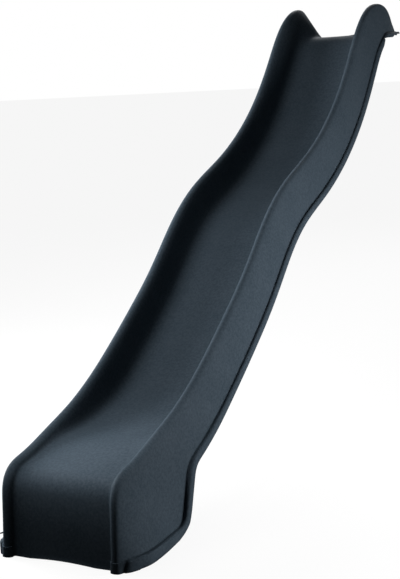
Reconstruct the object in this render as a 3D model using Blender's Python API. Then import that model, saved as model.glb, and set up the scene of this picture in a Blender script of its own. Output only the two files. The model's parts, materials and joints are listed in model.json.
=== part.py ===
"""Playground slide: a one-piece moulded wave slide for a 1.5 m platform, with the fixings it is fastened by.

Units are metres, +Z is up and +X is the slide's width. It runs down towards -Y. Everything is drawn with Y = 0 at the
front of the exit foot, and the finished model is moved so that its origin is under the middle of its box.
"""

import math

import bmesh
import bpy
import numpy

# Side view of the rolled edge
DECK_HEIGHT = 1.500
NOSE_Y = 0.135
NOSE_HEIGHT = 0.283
NOSE_BEND = 0.075
NOSE_SLOPE = math.radians(9)
FRONT_LEAN = math.radians(6.5)
EAR_TOP_Y = 2.473
EAR_HEIGHT = 0.1345
EAR_BACK_RADIUS = 0.111
EAR_BACK_LEAN = math.radians(20.5)
EAR_FOOT_RADIUS = 0.031

# The wave between the nose and the top of the ears, as shares of that run and that rise
WAVE = (
    (0.061, 0.027), (0.150, 0.076), (0.235, 0.151), (0.314, 0.236), (0.391, 0.329), (0.463, 0.433),
    (0.543, 0.515), (0.632, 0.569), (0.718, 0.635), (0.796, 0.725), (0.863, 0.835), (0.933, 0.956),
)

# Cross-section
WALL = 0.0040
EDGE_RADIUS = 0.018
EDGE_RADIUS_REAR = 0.006
HALF_WIDTH_EXIT = 0.2005
HALF_WIDTH_TOP = 0.1847
EAR_SPREAD = 0.022
EAR_SPREAD_RUN = 0.066
TROUGH_DEPTH = 0.110
TROUGH_START_Y = 0.150
TROUGH_FULL_Y = 0.690
EXIT_DEPTH = 0.009
FRONT_DEPTH = 0.005
TROUGH_DRAFT = math.radians(12)
TROUGH_FILLET = 0.032
EAR_DRAFT = math.radians(35)
EAR_DRAFT_RUN = 0.160
EAR_DRAFT_LEAD = 0.120
EAR_FILLET = 0.054
SKIRT_DROP_FOOT = 0.139
SKIRT_DROP_TOP = 0.130
SKIRT_FLARE_FOOT = 0.043
SKIRT_FLARE_TOP = 0.039
SKIRT_FLARE_REAR = 0.013
SKIRT_FLARE_FRONT = 0.020
SKIRT_FLARE_BASE = 0.0545
SKIRT_FRONT_RUN = 0.130

# Stepped band along the skirt's lower edge
BAND_STEP = 0.014
BAND_STEP_FOOT = 0.019
BAND_STEP_FRONT = 0.008
BAND_STEP_REAR = 0.009
BAND_NARROWING_RUN = 0.250
BAND_DROP = 0.022
BAND_DROP_REAR = 0.008
BAND_END_RUN = 0.035
BAND_TURN = 0.080
BAND_LEAN = 0.001
BAND_INNER_ROUND = 0.0035
BAND_OUTER_ROUND = 0.0055
BAND_FRONT_GAP = 0.002
BAND_FRONT_RISE = 0.010
BAND_FRONT_ROUND = 0.012

# Exit foot
GROOVE_HEIGHT = 0.028
GROOVE_HEIGHT_FRONT = 0.040
FOOT_LENGTH = 0.358
FOOT_BACK_LEAN = math.radians(20)
FOOT_CORNER = 0.045
FOOT_SHOULDER = 0.085
FOOT_END_Y = 0.465
FRONT_ARCH = 0.0065
FRONT_KICK = 0.002
FRONT_KICK_HEIGHT = 0.010
TRIM = 0.006

# Top lip, which lies on the platform
PLATFORM_EDGE_OFFSET = 0.025
LIP_RUN = 0.280
LIP_CREST = 0.022
LIP_BEND = 0.130
LIP_FLAT_OFFSET = 0.050
LIP_TRIM = 0.0005
LIP_EASE = 0.050
EAR_SIDE_RUN = 0.110
EAR_FLANGE_OFFSET = 0.010
EAR_FLANGE_HEIGHT = 0.023
EAR_FLANGE_ROUND = 0.030

# Screws, washers and snap caps that hold the lip
SCREW_COUNT = 3
SCREW_PITCH = 0.090
SCREW_REAR_MARGIN = 0.048
SCREW_SHANK = 0.0060
SCREW_LENGTH = 0.050
SCREW_POINT = 0.008
SCREW_HEAD_ACROSS = 0.0100
SCREW_HEAD_HEIGHT = 0.0040
SCREW_WASHER = 0.0170
SCREW_WASHER_THICKNESS = 0.0012
CAP_FLOOR = 0.0008
CAP_BASE_HEIGHT = 0.0040
CAP_BASE_WALL = 0.0030
CAP_WALL = 0.0012
CAP_CROWN = 0.35

# Ground brackets, bolts, washers and threaded inserts inside the foot
BRACKET_BACK_GAP = 0.055
BRACKET_LENGTH = 0.150
BRACKET_HEIGHT = 0.060
BRACKET_FOOT = 0.045
BRACKET_THICKNESS = 0.0030
ANCHOR_HOLE = 0.0110
BOLT_PITCH = 0.100
BOLT_HEIGHT = 0.038
BOLT_SHANK = 0.0080
BOLT_LENGTH = 0.0180
BOLT_HEAD_ACROSS = 0.0130
BOLT_HEAD_HEIGHT = 0.0053
BOLT_WASHER = 0.0160
BOLT_WASHER_THICKNESS = 0.0016
BOSS_X = 0.2045
BOSS_RADIUS = 0.0125
INSERT_RADIUS = 0.0065
INSERT_LENGTH = 0.0150

# Clearances
SEAT_GAP = 0.0003
RUNNING_GAP = 0.0004
HOLE_CLEARANCE = 0.0010

# Fineness of the loft and of the round pieces
SLOPE_FEEL = 0.004
FOOT_STEP = 0.030
RUN_STEP = 0.080
TOP_STEP = 0.032
BED_SPANS = 3
FILLET_SPANS = 3
EDGE_SPANS = 5
SKIRT_SPANS = 1
ARC_POINTS = 16
ROUND_SIDES = 16

# Places that follow from the sizes above
LIP_TOP = DECK_HEIGHT + WALL - LIP_TRIM
REAR_Y = EAR_TOP_Y + EAR_BACK_RADIUS
EAR_FOOT_HEIGHT = LIP_TOP + EDGE_RADIUS_REAR
EAR_FOOT_Y = REAR_Y + (DECK_HEIGHT + EAR_HEIGHT - EAR_FOOT_HEIGHT) * math.tan(EAR_BACK_LEAN)
REAR_EDGE_Y = EAR_FOOT_Y + EAR_FOOT_RADIUS + EDGE_RADIUS_REAR
EAR_DRAFT_Y = EAR_TOP_Y - EAR_DRAFT_LEAD
LIP_START_Y = EAR_TOP_Y - LIP_RUN
LIP_FLAT_Y = EAR_TOP_Y + LIP_FLAT_OFFSET
PLATFORM_EDGE_Y = EAR_TOP_Y - PLATFORM_EDGE_OFFSET
EAR_FLANGE_Y = EAR_TOP_Y + EAR_FLANGE_OFFSET
EAR_SPREAD_START_Y = EAR_TOP_Y - EAR_SPREAD_RUN
SCREW_Y = REAR_EDGE_Y - SCREW_REAR_MARGIN
BRACKET_Y = FOOT_LENGTH - BRACKET_BACK_GAP - BRACKET_LENGTH / 2


def unit(vector):
    """The vector at length 1."""
    return vector / numpy.linalg.norm(vector)


def ease(share):
    """Smooth step from 0 to 1."""
    share = min(max(share, 0.0), 1.0)
    return share * share * (3 - 2 * share)


def blend(start, end, share):
    """The value at a share of the way from start to end."""
    return start + (end - start) * share


def slope(angle):
    """Unit direction in the side view (Y, Z) that climbs at an angle."""
    return numpy.array([math.cos(angle), math.sin(angle)])


def crossing(point, direction, other, other_direction):
    """Where two lines in the side view cross."""
    matrix = numpy.column_stack([direction, -other_direction])
    return point + direction * numpy.linalg.solve(matrix, other - point)[0]


def rounded(corners, radii):
    """Points along straight runs between corners, with an arc of the given radius at each inner corner."""
    points = [corners[0]]
    for before, corner, after, radius in zip(corners, corners[1:], corners[2:], radii):
        back = unit(before - corner)
        ahead = unit(after - corner)
        half = math.acos(back @ ahead) / 2
        centre = corner + unit(back + ahead) * radius / math.sin(half)
        first = corner + back * radius / math.tan(half) - centre
        last = corner + ahead * radius / math.tan(half) - centre
        for share in numpy.linspace(0, 1, ARC_POINTS):
            points.append(centre + unit(blend(first, last, share)) * radius)
    points.append(corners[-1])
    return points


def curved(knots, first_direction, last_direction):
    """Points along a smooth curve through the knots, with a set direction at each end."""
    knots = numpy.array(knots)
    gaps = numpy.linalg.norm(numpy.diff(knots, axis=0), axis=1)
    matrix = numpy.eye(len(knots))
    target = numpy.zeros_like(knots)
    target[0] = first_direction
    target[-1] = last_direction
    for index in range(1, len(knots) - 1):
        before, after = gaps[index - 1], gaps[index]
        climb_before = (knots[index] - knots[index - 1]) / before
        climb_after = (knots[index + 1] - knots[index]) / after
        matrix[index, index - 1:index + 2] = after, 2 * (before + after), before
        target[index] = 3 * (after * climb_before + before * climb_after)
    directions = numpy.linalg.solve(matrix, target)
    points = []
    for index, gap in enumerate(gaps):
        for t in numpy.linspace(0, 1, ARC_POINTS, endpoint=False):
            here = (2 * t**3 - 3 * t**2 + 1) * knots[index] + (t**3 - 2 * t**2 + t) * gap * directions[index]
            there = (3 * t**2 - 2 * t**3) * knots[index + 1] + (t**3 - t**2) * gap * directions[index + 1]
            points.append(here + there)
    points.append(knots[-1])
    return points


class Line:
    """A line in the side view (Y, Z), measured by its length from the front."""

    def __init__(self, points):
        self.points = numpy.array(points)
        steps = numpy.linalg.norm(numpy.diff(self.points, axis=0), axis=1)
        self.marks = numpy.concatenate([[0.0], numpy.cumsum(steps)])
        self.length = self.marks[-1]

    def at(self, length):
        """The point at a length."""
        return numpy.array([numpy.interp(length, self.marks, values) for values in self.points.T])

    def above(self, length):
        """Unit normal at a length, on the line's upper side."""
        ahead = self.at(min(length + SLOPE_FEEL, self.length))
        behind = self.at(max(length - SLOPE_FEEL, 0.0))
        along = unit(ahead - behind)
        return numpy.array([-along[1], along[0]])

    def length_at_y(self, y):
        """The length at which the line passes a place along the slide."""
        passed = int(numpy.argmax(self.points[:, 0] >= y)) + 1
        return numpy.interp(y, self.points[:passed, 0], self.marks[:passed])


def rolled_edge():
    """Centre line of the rolled edge: up the front, over the nose, along the wave and down the back of the ear."""
    foot = numpy.array([EDGE_RADIUS, -TRIM])
    nose = numpy.array([NOSE_Y, NOSE_HEIGHT])
    ear = numpy.array([EAR_TOP_Y, DECK_HEIGHT + EAR_HEIGHT])
    front_corner = crossing(foot, slope(math.pi / 2 - FRONT_LEAN), nose, slope(NOSE_SLOPE))
    front = rounded([foot, front_corner, nose], [NOSE_BEND])
    knots = [nose] + [nose + (ear - nose) * share for share in numpy.array(WAVE)] + [ear]
    wave = curved(knots, slope(NOSE_SLOPE), slope(0))
    back_corner = numpy.array([REAR_Y, ear[1]])
    foot_corner = numpy.array([EAR_FOOT_Y, EAR_FOOT_HEIGHT])
    end = numpy.array([REAR_EDGE_Y, EAR_FOOT_HEIGHT])
    back = rounded([ear, back_corner, foot_corner, end], [EAR_BACK_RADIUS, EAR_FOOT_RADIUS])
    return Line(front[:-1] + wave[:-1] + back[1:])


EDGE = rolled_edge()
NOSE_MARK = EDGE.length_at_y(NOSE_Y)
FOOT_MARK = EDGE.length_at_y(FOOT_END_Y)
LIP_MARK = EDGE.length_at_y(LIP_START_Y)
SPREAD_MARK = EDGE.length_at_y(EAR_SPREAD_START_Y)
EAR_MARK = EDGE.length_at_y(EAR_TOP_Y)
DECK_MARK = EDGE.length_at_y(EAR_TOP_Y - EAR_SIDE_RUN)


def half_width(mark):
    """Half the width between the rolled edges' centre lines."""
    width = blend(HALF_WIDTH_EXIT, HALF_WIDTH_TOP, min(mark / EAR_MARK, 1.0))
    return width + EAR_SPREAD * ease((mark - SPREAD_MARK) / (EDGE.length - SPREAD_MARK))


def rear_share(mark):
    """0 up to the top of the ear, then up to 1 at the rear edge."""
    return ease((mark - EAR_MARK) / (EDGE.length - EAR_MARK))


def edge_radius(mark):
    """Radius of the rolled edge, which flattens out behind the ear."""
    return blend(EDGE_RADIUS, EDGE_RADIUS_REAR, rear_share(mark))


def depth(mark):
    """Depth of the sliding surface below the rolled edge's centre line."""
    if mark < NOSE_MARK:
        kick = FRONT_KICK * (1 - ease(mark / FRONT_KICK_HEIGHT))
        return blend(FRONT_DEPTH, EXIT_DEPTH, mark / NOSE_MARK) - kick
    y = EDGE.at(mark)[0]
    return blend(EXIT_DEPTH, TROUGH_DEPTH, ease((y - TROUGH_START_Y) / (TROUGH_FULL_Y - TROUGH_START_Y)))


def top_of_bed():
    """The sliding surface from the last slope over the crest to the flat lip, and its length at the crest."""
    start = EDGE.at(LIP_MARK) - EDGE.above(LIP_MARK) * depth(LIP_MARK)
    normal = EDGE.above(LIP_MARK)
    uphill = numpy.array([normal[1], -normal[0]])
    crest = numpy.array([EAR_TOP_Y, DECK_HEIGHT + LIP_CREST])
    corner = crossing(start, uphill, crest, slope(0))
    flat = numpy.array([LIP_FLAT_Y, LIP_TOP])
    rear = numpy.array([REAR_EDGE_Y, LIP_TOP])
    line = Line(rounded([start, corner, crest, flat, rear], [LIP_BEND, LIP_EASE, LIP_EASE]))
    return line, line.length_at_y(EAR_TOP_Y)


BED_TOP, CREST_MARK = top_of_bed()


def bed_point(mark):
    """Point of the sliding surface across from a place on the rolled edge."""
    if mark <= LIP_MARK:
        return EDGE.at(mark) - EDGE.above(mark) * depth(mark)
    marks = [LIP_MARK, EAR_MARK, EDGE.length]
    return BED_TOP.at(numpy.interp(mark, marks, [0.0, CREST_MARK, BED_TOP.length]))


def below_edge(mark):
    """Point of the groove straight below the rolled edge, along the slide's run."""
    drop = blend(SKIRT_DROP_FOOT, SKIRT_DROP_TOP, mark / EAR_MARK)
    return EDGE.at(mark) - EDGE.above(mark) * drop


def foot_groove():
    """The groove round the exit foot: along the ground, up its back and into the run."""
    front = numpy.array([EDGE_RADIUS + BAND_FRONT_GAP, -TRIM])
    front_corner = numpy.array([front[0] + BAND_FRONT_RISE, GROOVE_HEIGHT_FRONT])
    back_corner = numpy.array([FOOT_LENGTH, GROOVE_HEIGHT])
    end = below_edge(FOOT_MARK)
    normal = EDGE.above(FOOT_MARK)
    downhill = numpy.array([-normal[1], normal[0]])
    shoulder = crossing(back_corner, slope(math.pi / 2 - FOOT_BACK_LEAN), end, downhill)
    corners = [front, front_corner, back_corner, shoulder, end]
    return Line(rounded(corners, [BAND_FRONT_ROUND, FOOT_CORNER, FOOT_SHOULDER]))


def deck_groove():
    """The lower edge of the ear's outer side, which runs up to the flange and back over the platform."""
    start = below_edge(DECK_MARK)
    flange = numpy.array([EAR_FLANGE_Y, DECK_HEIGHT + EAR_FLANGE_HEIGHT])
    rear = numpy.array([REAR_EDGE_Y, DECK_HEIGHT + EAR_FLANGE_HEIGHT])
    return Line(rounded([start, flange, rear], [EAR_FLANGE_ROUND]))


FOOT_GROOVE = foot_groove()
DECK_GROOVE = deck_groove()


def groove_point(mark):
    """Groove point across from a place on the rolled edge, the way down from it, and the length round the foot."""
    if mark < FOOT_MARK:
        along = FOOT_GROOVE.length * mark / FOOT_MARK
        point = FOOT_GROOVE.at(along)
        down = -FOOT_GROOVE.above(along)
        if along < SKIRT_FRONT_RUN:
            down = -slope(math.pi / 2)
        return point, down, along
    if mark < DECK_MARK:
        return below_edge(mark), -EDGE.above(mark), FOOT_GROOVE.length
    along = DECK_GROOVE.length * (mark - DECK_MARK) / (EDGE.length - DECK_MARK)
    return DECK_GROOVE.at(along), -DECK_GROOVE.above(along), FOOT_GROOVE.length


def band_step(mark, along):
    """How far the band stands out from the groove: widest round the foot, narrowest at the rear edge."""
    front = ease(along / SKIRT_FRONT_RUN)
    run = ease((mark - FOOT_MARK) / BAND_NARROWING_RUN)
    step = blend(blend(BAND_STEP_FRONT, BAND_STEP_FOOT, front), BAND_STEP, run)
    return blend(step, BAND_STEP_REAR, rear_share(mark))


def band_bottom(mark, along):
    """How far the band reaches down from the groove; along the ground it is cut off at the ground."""
    ground = blend(GROOVE_HEIGHT_FRONT, GROOVE_HEIGHT, min(along / FOOT_LENGTH, 1.0)) + TRIM
    run = blend(BAND_DROP, BAND_DROP_REAR, ease((mark - DECK_MARK) / BAND_END_RUN))
    return blend(ground, run, ease(1 + (along - FOOT_LENGTH) / BAND_TURN))


def skirt_flare(mark, along):
    """How far the skirt leans out between the rolled edge's centre line and the groove."""
    base = blend(SKIRT_FLARE_FRONT, SKIRT_FLARE_BASE, ease(along / SKIRT_FRONT_RUN))
    run = blend(SKIRT_FLARE_FOOT, SKIRT_FLARE_TOP, min(mark / EAR_MARK, 1.0))
    flare = blend(base, run, ease(2 * along / FOOT_LENGTH - 1))
    return blend(flare, SKIRT_FLARE_REAR, rear_share(mark))


def half_section(mark):
    """One half of the cross-section at a place on the rolled edge, from the middle outwards, as (X, Y, Z) points."""
    edge = EDGE.at(mark)
    normal = EDGE.above(mark)
    radius = edge_radius(mark)
    width = half_width(mark)
    bed = bed_point(mark)
    to_edge = edge - bed
    height = numpy.linalg.norm(to_edge)
    rise = to_edge / height

    ear_share = ease((edge[0] - EAR_DRAFT_Y) / EAR_DRAFT_RUN)
    draft = blend(TROUGH_DRAFT, EAR_DRAFT, ear_share)
    wall_top = height + radius * math.sin(draft)
    corner_x = width - radius * math.cos(draft) - wall_top * math.tan(draft)
    turn = math.pi / 2 - draft
    fillet = min(blend(TROUGH_FILLET, EAR_FILLET, ear_share), wall_top)
    bed_x = corner_x - fillet * math.tan(turn / 2)

    def across(x, lift, base, direction):
        y, z = base + direction * lift
        return numpy.array([x, y, z])

    points = []
    low = (TRIM + FRONT_ARCH) * (1 - ease((edge[1] + TRIM) / NOSE_BEND)) if mark < NOSE_MARK else 0.0
    for step in range(BED_SPANS):
        share = step / BED_SPANS
        point = across(bed_x * share, 0.0, bed, rise)
        point[2] += low * (1 - share * share)
        points.append(point)
    for step in range(FILLET_SPANS + 1):
        angle = turn * step / FILLET_SPANS
        points.append(across(bed_x + fillet * math.sin(angle), fillet * (1 - math.cos(angle)), bed, rise))

    groove, down, along = groove_point(mark)
    flare = skirt_flare(mark, along)
    drop = numpy.linalg.norm(groove - edge)
    reach = math.hypot(flare, drop)
    lean = math.acos(min(radius / reach, 1.0)) - math.atan2(drop, flare)
    first = math.pi - draft
    for step in range(EDGE_SPANS + 1):
        angle = blend(first, lean, step / EDGE_SPANS)
        points.append(across(width + radius * math.cos(angle), radius * math.sin(angle), edge, normal))

    groove_x = width + flare
    top = points[-1]
    foot = across(groove_x, 0.0, groove, down)
    skirt = foot - top
    foot = foot - unit(skirt) * BAND_INNER_ROUND
    for step in range(1, SKIRT_SPANS + 1):
        points.append(blend(top, foot, step / SKIRT_SPANS))

    step_out = band_step(mark, along)
    ledge = step_out - BAND_OUTER_ROUND
    outline = [
        (min(BAND_INNER_ROUND, ledge * 0.8), 0.0),
        (ledge, 0.0),
        (step_out, BAND_OUTER_ROUND),
        (step_out + BAND_LEAN, band_bottom(mark, along)),
    ]
    for out, fall in outline:
        points.append(across(groove_x + out, fall, groove, down))
    return points


def stations():
    """Places along the rolled edge where the cross-section is drawn."""
    marks = [0.0, FRONT_KICK_HEIGHT, 2 * FRONT_KICK_HEIGHT]
    bounds = [(FOOT_MARK, FOOT_STEP), (LIP_MARK, RUN_STEP), (EDGE.length, TOP_STEP)]
    for end, step in bounds:
        start = marks[-1]
        count = math.ceil((end - start) / step)
        for index in range(1, count + 1):
            marks.append(blend(start, end, index / count))
    return marks


def material(name, color, roughness, metallic):
    """A plain surface with one colour."""
    made = bpy.data.materials.new(name)
    made.use_nodes = True
    shader = made.node_tree.nodes["Principled BSDF"]
    shader.inputs["Base Color"].default_value = (*color, 1.0)
    shader.inputs["Roughness"].default_value = roughness
    shader.inputs["Metallic"].default_value = metallic
    made.diffuse_color = (*color, 1.0)
    return made


def add_object(name, mesh_edit, surface=None, cutter=False):
    """An object from a bmesh, with outward faces; a cutter is only a guide for Boolean cuts."""
    bmesh.ops.recalc_face_normals(mesh_edit, faces=mesh_edit.faces)
    mesh = bpy.data.meshes.new(name)
    mesh_edit.to_mesh(mesh)
    mesh_edit.free()
    made = bpy.data.objects.new(name, mesh)
    bpy.context.collection.objects.link(made)
    if surface:
        mesh.materials.append(surface)
    if cutter:
        made.hide_render = True
        made.display_type = "WIRE"
    return made


def ring(size, height, sides=ROUND_SIDES, hexagon=False):
    """A level ring of points; size is the radius, or for a hexagon half the distance across its flats."""
    points = []
    for index in range(sides):
        angle = 2 * math.pi * index / sides
        radius = size
        if hexagon:
            radius = size / math.cos((angle + math.pi / 6) % (math.pi / 3) - math.pi / 6)
        points.append((radius * math.cos(angle), radius * math.sin(angle), height))
    return points


def stacked(rings, closed=False):
    """A body through rings of points, closed round on itself or ended by a flat face at each end."""
    mesh_edit = bmesh.new()
    rows = [[mesh_edit.verts.new(point) for point in points] for points in rings]
    pairs = list(zip(rows, rows[1:]))
    if closed:
        pairs.append((rows[-1], rows[0]))
    else:
        mesh_edit.faces.new(rows[0])
        mesh_edit.faces.new(rows[-1])
    for lower, upper in pairs:
        for index in range(len(lower)):
            ahead = (index + 1) % len(lower)
            mesh_edit.faces.new((lower[index], lower[ahead], upper[ahead], upper[index]))
    return mesh_edit


def block(low, high):
    """A box between two corners."""
    corners = [(low[0], low[1]), (high[0], low[1]), (high[0], high[1]), (low[0], high[1])]
    return stacked([[(x, y, z) for x, y in corners] for z in (low[2], high[2])])


def cut(target, cutter, operation="DIFFERENCE"):
    """A Boolean on the target."""
    modifier = target.modifiers.new(cutter.name, "BOOLEAN")
    modifier.operation = operation
    modifier.solver = "EXACT"
    modifier.object = cutter


def shade(target, angle=35):
    """Smooth shading with sharp corners kept."""
    target.data.shade_smooth()
    target.data.set_sharp_from_angle(angle=math.radians(angle))


def lay_along_x(target, side):
    """Turns a piece's own Z axis to point outwards along X, to the given side."""
    target.rotation_euler = (0.0, side * math.pi / 2, 0.0)


def shell(surface):
    """The moulded slide: one sheet of even thickness from the groove band over bed and rolled edges."""
    mesh_edit = bmesh.new()
    rows = []
    for mark in stations():
        half = half_section(mark)
        other = [point * numpy.array([-1, 1, 1]) for point in half[:0:-1]]
        rows.append([mesh_edit.verts.new(point) for point in other + half])
    for front, back in zip(rows, rows[1:]):
        for index in range(len(front) - 1):
            mesh_edit.faces.new((front[index], front[index + 1], back[index + 1], back[index]))
    slide = add_object("slide_shell", mesh_edit, surface)
    if slide.data.polygons[len(slide.data.polygons) // 2].normal.z < 0:
        slide.data.flip_normals()
    thickness = slide.modifiers.new("wall", "SOLIDIFY")
    thickness.thickness = WALL
    thickness.offset = -1
    thickness.use_even_offset = True
    thickness.use_quality_normals = True
    return slide


def trim_shell(slide):
    """Cuts the shell flat where it stands on the ground and where it lies on the platform."""
    reach = HALF_WIDTH_EXIT * 3
    ground = block((-reach, -reach, -reach), (reach, REAR_EDGE_Y, 0.0))
    cut(slide, add_object("ground_cutter", ground, cutter=True))
    deck = block((-reach, PLATFORM_EDGE_Y, DECK_HEIGHT - reach), (reach, REAR_EDGE_Y + reach, DECK_HEIGHT))
    cut(slide, add_object("deck_cutter", deck, cutter=True))


def lip_fixings(slide, steel, plastic):
    """Coach screws through the lip, each with a cap base, a washer and a snap cap."""
    seat = LIP_TOP + SEAT_GAP
    washer_seat = seat + CAP_FLOOR + SEAT_GAP
    head_seat = washer_seat + SCREW_WASHER_THICKNESS + SEAT_GAP
    hole = SCREW_SHANK / 2 + HOLE_CLEARANCE / 2
    pocket = SCREW_WASHER / 2 + RUNNING_GAP
    base_outer = pocket + CAP_BASE_WALL
    cap_inner = base_outer + RUNNING_GAP
    cap_outer = cap_inner + CAP_WALL
    cap_ceiling = head_seat + SCREW_HEAD_HEIGHT + SEAT_GAP - seat
    for index in range(SCREW_COUNT):
        x = (index - (SCREW_COUNT - 1) / 2) * SCREW_PITCH
        number = index + 1

        drill = stacked([ring(hole, -WALL * 3), ring(hole, WALL * 3)])
        drill_guide = add_object(f"lip_hole_{number}_cutter", drill, cutter=True)
        drill_guide.location = (x, SCREW_Y, LIP_TOP)
        cut(slide, drill_guide)

        base = stacked([
            ring(base_outer, 0.0), ring(base_outer, CAP_BASE_HEIGHT), ring(pocket, CAP_BASE_HEIGHT),
            ring(pocket, CAP_FLOOR), ring(hole, CAP_FLOOR), ring(hole, 0.0),
        ], closed=True)
        base_piece = add_object(f"lip_cap_base_{number}", base, plastic)
        base_piece.location = (x, SCREW_Y, seat)

        washer = stacked([
            ring(SCREW_WASHER / 2, 0.0), ring(SCREW_WASHER / 2, SCREW_WASHER_THICKNESS),
            ring(hole, SCREW_WASHER_THICKNESS), ring(hole, 0.0),
        ], closed=True)
        washer_piece = add_object(f"lip_washer_{number}", washer, steel)
        washer_piece.location = (x, SCREW_Y, washer_seat)

        screw = stacked([
            ring(SCREW_SHANK / 12, -SCREW_LENGTH), ring(SCREW_SHANK / 2, SCREW_POINT - SCREW_LENGTH),
            ring(SCREW_SHANK / 2, 0.0), ring(SCREW_HEAD_ACROSS / 2, 0.0, hexagon=True),
            ring(SCREW_HEAD_ACROSS / 2, SCREW_HEAD_HEIGHT, hexagon=True),
        ])
        screw_piece = add_object(f"lip_screw_{number}", screw, steel)
        screw_piece.location = (x, SCREW_Y, head_seat)

        shoulder = cap_ceiling * (1 - CAP_CROWN)
        crown = cap_outer * (1 - CAP_CROWN)
        cap = stacked([
            ring(crown, cap_ceiling + CAP_WALL), ring(cap_outer - CAP_WALL / 2, shoulder + CAP_WALL),
            ring(cap_outer, shoulder), ring(cap_outer, 0.0), ring(cap_inner, 0.0),
            ring(cap_inner, shoulder), ring(crown, cap_ceiling),
        ])
        cap_piece = add_object(f"lip_cap_{number}", cap, plastic)
        cap_piece.location = (x, SCREW_Y, seat)
        for piece in (base_piece, washer_piece, screw_piece, cap_piece):
            shade(piece)


def skirt_x(y, height):
    """Half the foot's outer width above the groove, at a place along it and a height."""
    mark = FOOT_MARK * FOOT_GROOVE.length_at_y(y) / FOOT_GROOVE.length
    skirt_top = BED_SPANS + FILLET_SPANS + EDGE_SPANS + 1
    top, foot = numpy.array(half_section(mark))[[skirt_top, skirt_top + SKIRT_SPANS]]
    return blend(foot[0], top[0], (height - foot[2]) / (top[2] - foot[2]))


def ground_fixings(slide, steel, brass):
    """On each side inside the foot, a ground bracket bolted into threaded inserts in moulded bosses."""
    leg_face = BOSS_X - SEAT_GAP
    washer_face = leg_face - BRACKET_THICKNESS - SEAT_GAP
    head_face = washer_face - BOLT_WASHER_THICKNESS - SEAT_GAP
    hole = BOLT_SHANK / 2 + HOLE_CLEARANCE / 2
    bore = BOLT_SHANK / 2 + RUNNING_GAP
    socket = INSERT_RADIUS + SEAT_GAP
    for side, side_name in ((-1, "left"), (1, "right")):
        outline = [
            (leg_face - BRACKET_FOOT, 0.0), (leg_face, 0.0), (leg_face, BRACKET_HEIGHT),
            (leg_face - BRACKET_THICKNESS, BRACKET_HEIGHT), (leg_face - BRACKET_THICKNESS, BRACKET_THICKNESS),
            (leg_face - BRACKET_FOOT, BRACKET_THICKNESS),
        ]
        ends = [BRACKET_Y - BRACKET_LENGTH / 2, BRACKET_Y + BRACKET_LENGTH / 2]
        bracket = stacked([[(side * x, y, z) for x, z in outline] for y in ends])
        bracket_piece = add_object(f"ground_bracket_{side_name}", bracket, steel)
        anchor = stacked([ring(ANCHOR_HOLE / 2, -BRACKET_THICKNESS), ring(ANCHOR_HOLE / 2, BRACKET_THICKNESS * 2)])
        anchor_guide = add_object(f"anchor_hole_{side_name}_cutter", anchor, cutter=True)
        anchor_guide.location = (side * (leg_face - (BRACKET_FOOT + BRACKET_THICKNESS) / 2), BRACKET_Y, 0.0)
        cut(bracket_piece, anchor_guide)

        for index, offset in enumerate((-BOLT_PITCH / 2, BOLT_PITCH / 2)):
            name = f"{side_name}_{index + 1}"
            y = BRACKET_Y + offset

            boss_end = [
                (up, along, skirt_x(y + along, BOLT_HEIGHT - side * up) - WALL / 2)
                for up, along, _ in ring(BOSS_RADIUS, 0.0)
            ]
            boss = stacked([ring(BOSS_RADIUS, BOSS_X), boss_end])
            boss_guide = add_object(f"boss_{name}_cutter", boss, cutter=True)
            boss_guide.location = (0.0, y, BOLT_HEIGHT)
            lay_along_x(boss_guide, side)
            cut(slide, boss_guide, "UNION")

            pocket = stacked([ring(socket, BOSS_X - WALL), ring(socket, BOSS_X + INSERT_LENGTH + SEAT_GAP)])
            pocket_guide = add_object(f"boss_pocket_{name}_cutter", pocket, cutter=True)
            pocket_guide.location = (0.0, y, BOLT_HEIGHT)
            lay_along_x(pocket_guide, side)
            cut(slide, pocket_guide)

            drill = stacked([ring(hole, leg_face - 2 * BRACKET_THICKNESS), ring(hole, leg_face + BRACKET_THICKNESS)])
            drill_guide = add_object(f"bracket_hole_{name}_cutter", drill, cutter=True)
            drill_guide.location = (0.0, y, BOLT_HEIGHT)
            lay_along_x(drill_guide, side)
            cut(bracket_piece, drill_guide)

            insert = stacked([
                ring(INSERT_RADIUS, BOSS_X), ring(INSERT_RADIUS, BOSS_X + INSERT_LENGTH),
                ring(bore, BOSS_X + INSERT_LENGTH), ring(bore, BOSS_X),
            ], closed=True)
            insert_piece = add_object(f"threaded_insert_{name}", insert, brass)

            washer = stacked([
                ring(BOLT_WASHER / 2, washer_face - BOLT_WASHER_THICKNESS), ring(BOLT_WASHER / 2, washer_face),
                ring(hole, washer_face), ring(hole, washer_face - BOLT_WASHER_THICKNESS),
            ], closed=True)
            washer_piece = add_object(f"bracket_washer_{name}", washer, steel)

            bolt = stacked([
                ring(BOLT_HEAD_ACROSS / 2, head_face - BOLT_HEAD_HEIGHT, hexagon=True),
                ring(BOLT_HEAD_ACROSS / 2, head_face, hexagon=True),
                ring(BOLT_SHANK / 2, head_face), ring(BOLT_SHANK / 2, head_face + BOLT_LENGTH),
            ])
            bolt_piece = add_object(f"bracket_bolt_{name}", bolt, steel)
            for piece in (insert_piece, washer_piece, bolt_piece):
                piece.location = (0.0, y, BOLT_HEIGHT)
                lay_along_x(piece, side)
                shade(piece)


def place_origin():
    """Moves the whole model so that its origin is on the ground under the middle of its box."""
    middle = bpy.data.objects.new("slide_origin", None)
    bpy.context.collection.objects.link(middle)
    for piece in list(bpy.data.objects):
        if piece is not middle:
            piece.parent = middle
    middle.location.y = -REAR_EDGE_Y / 2


for existing in list(bpy.data.objects):
    bpy.data.objects.remove(existing)

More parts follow.
